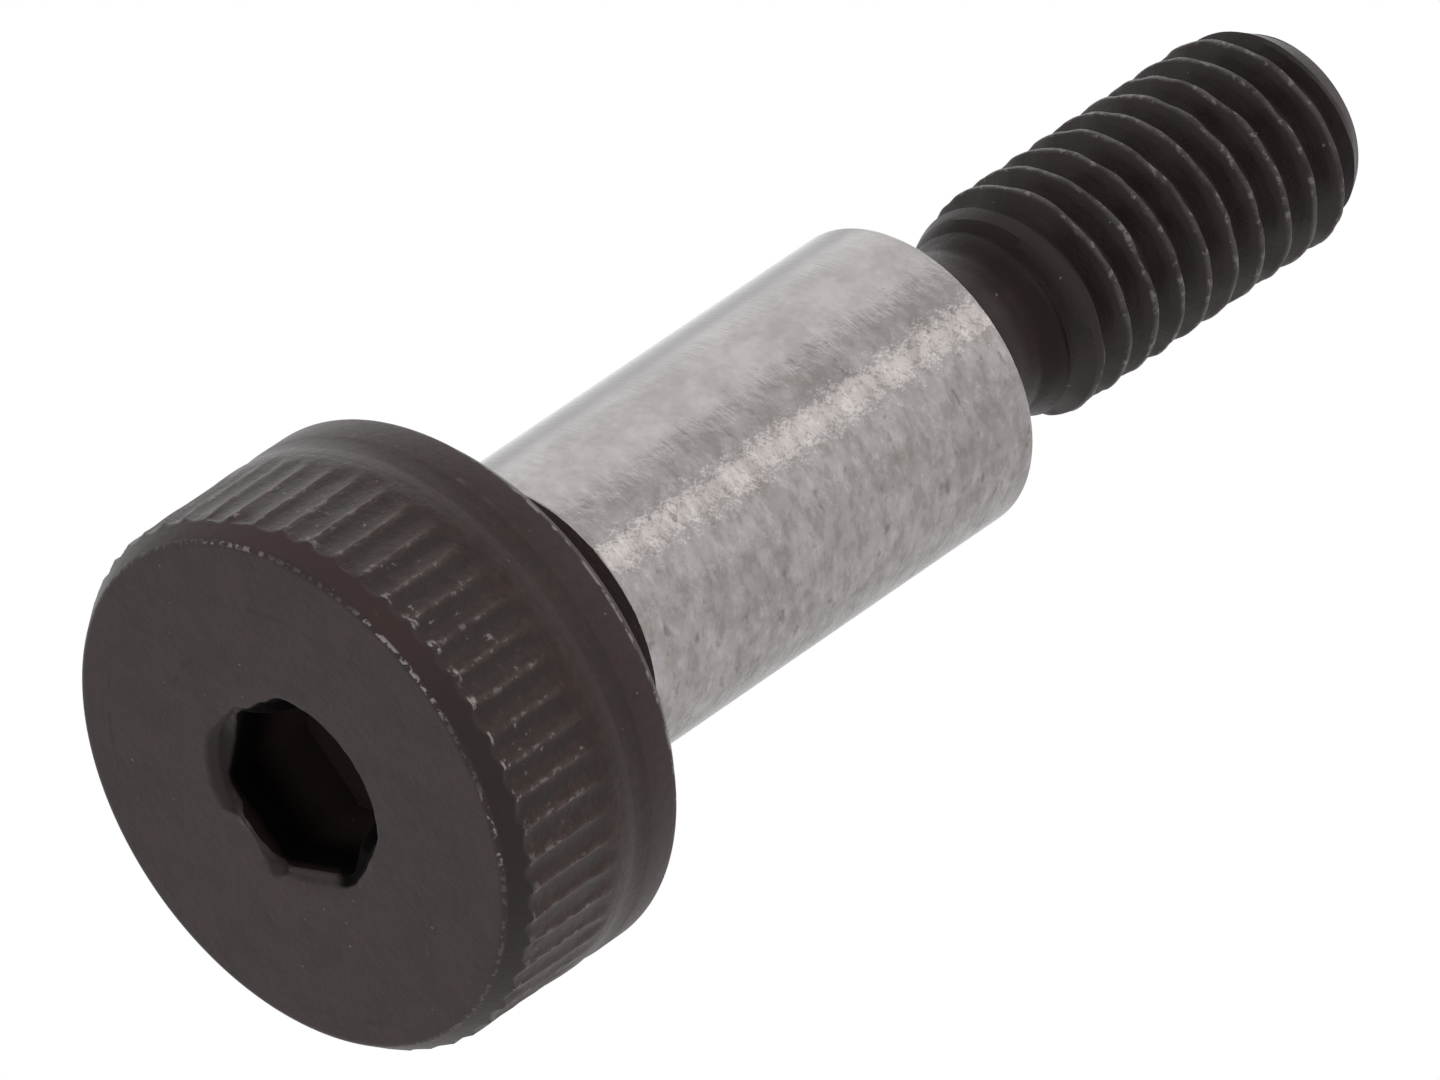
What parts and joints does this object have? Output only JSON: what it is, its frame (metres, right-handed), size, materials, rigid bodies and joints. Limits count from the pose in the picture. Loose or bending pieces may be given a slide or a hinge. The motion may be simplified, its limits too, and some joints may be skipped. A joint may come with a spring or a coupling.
{
  "type": "shoulder bolt",
  "caption": "Small shoulder bolt: knurled round socket head, plain ground shoulder, undercut neck and a narrower fine thread with a chamfered tip.",
  "frame": {"origin": "centre of the head's flat face", "axes": "+Z along the bolt, from the head's face to the threaded tip; the hexagon's flats face +Y and -Y"},
  "size_m": [0.007, 0.007, 0.018],
  "materials": {
    "black_oxide": "black oxide on head, grooves and thread; the shoulder is bright ground steel"
  },
  "bodies": {
    "root": {"shoulder_bolt": "black_oxide"}
  },
  "joints": []
}
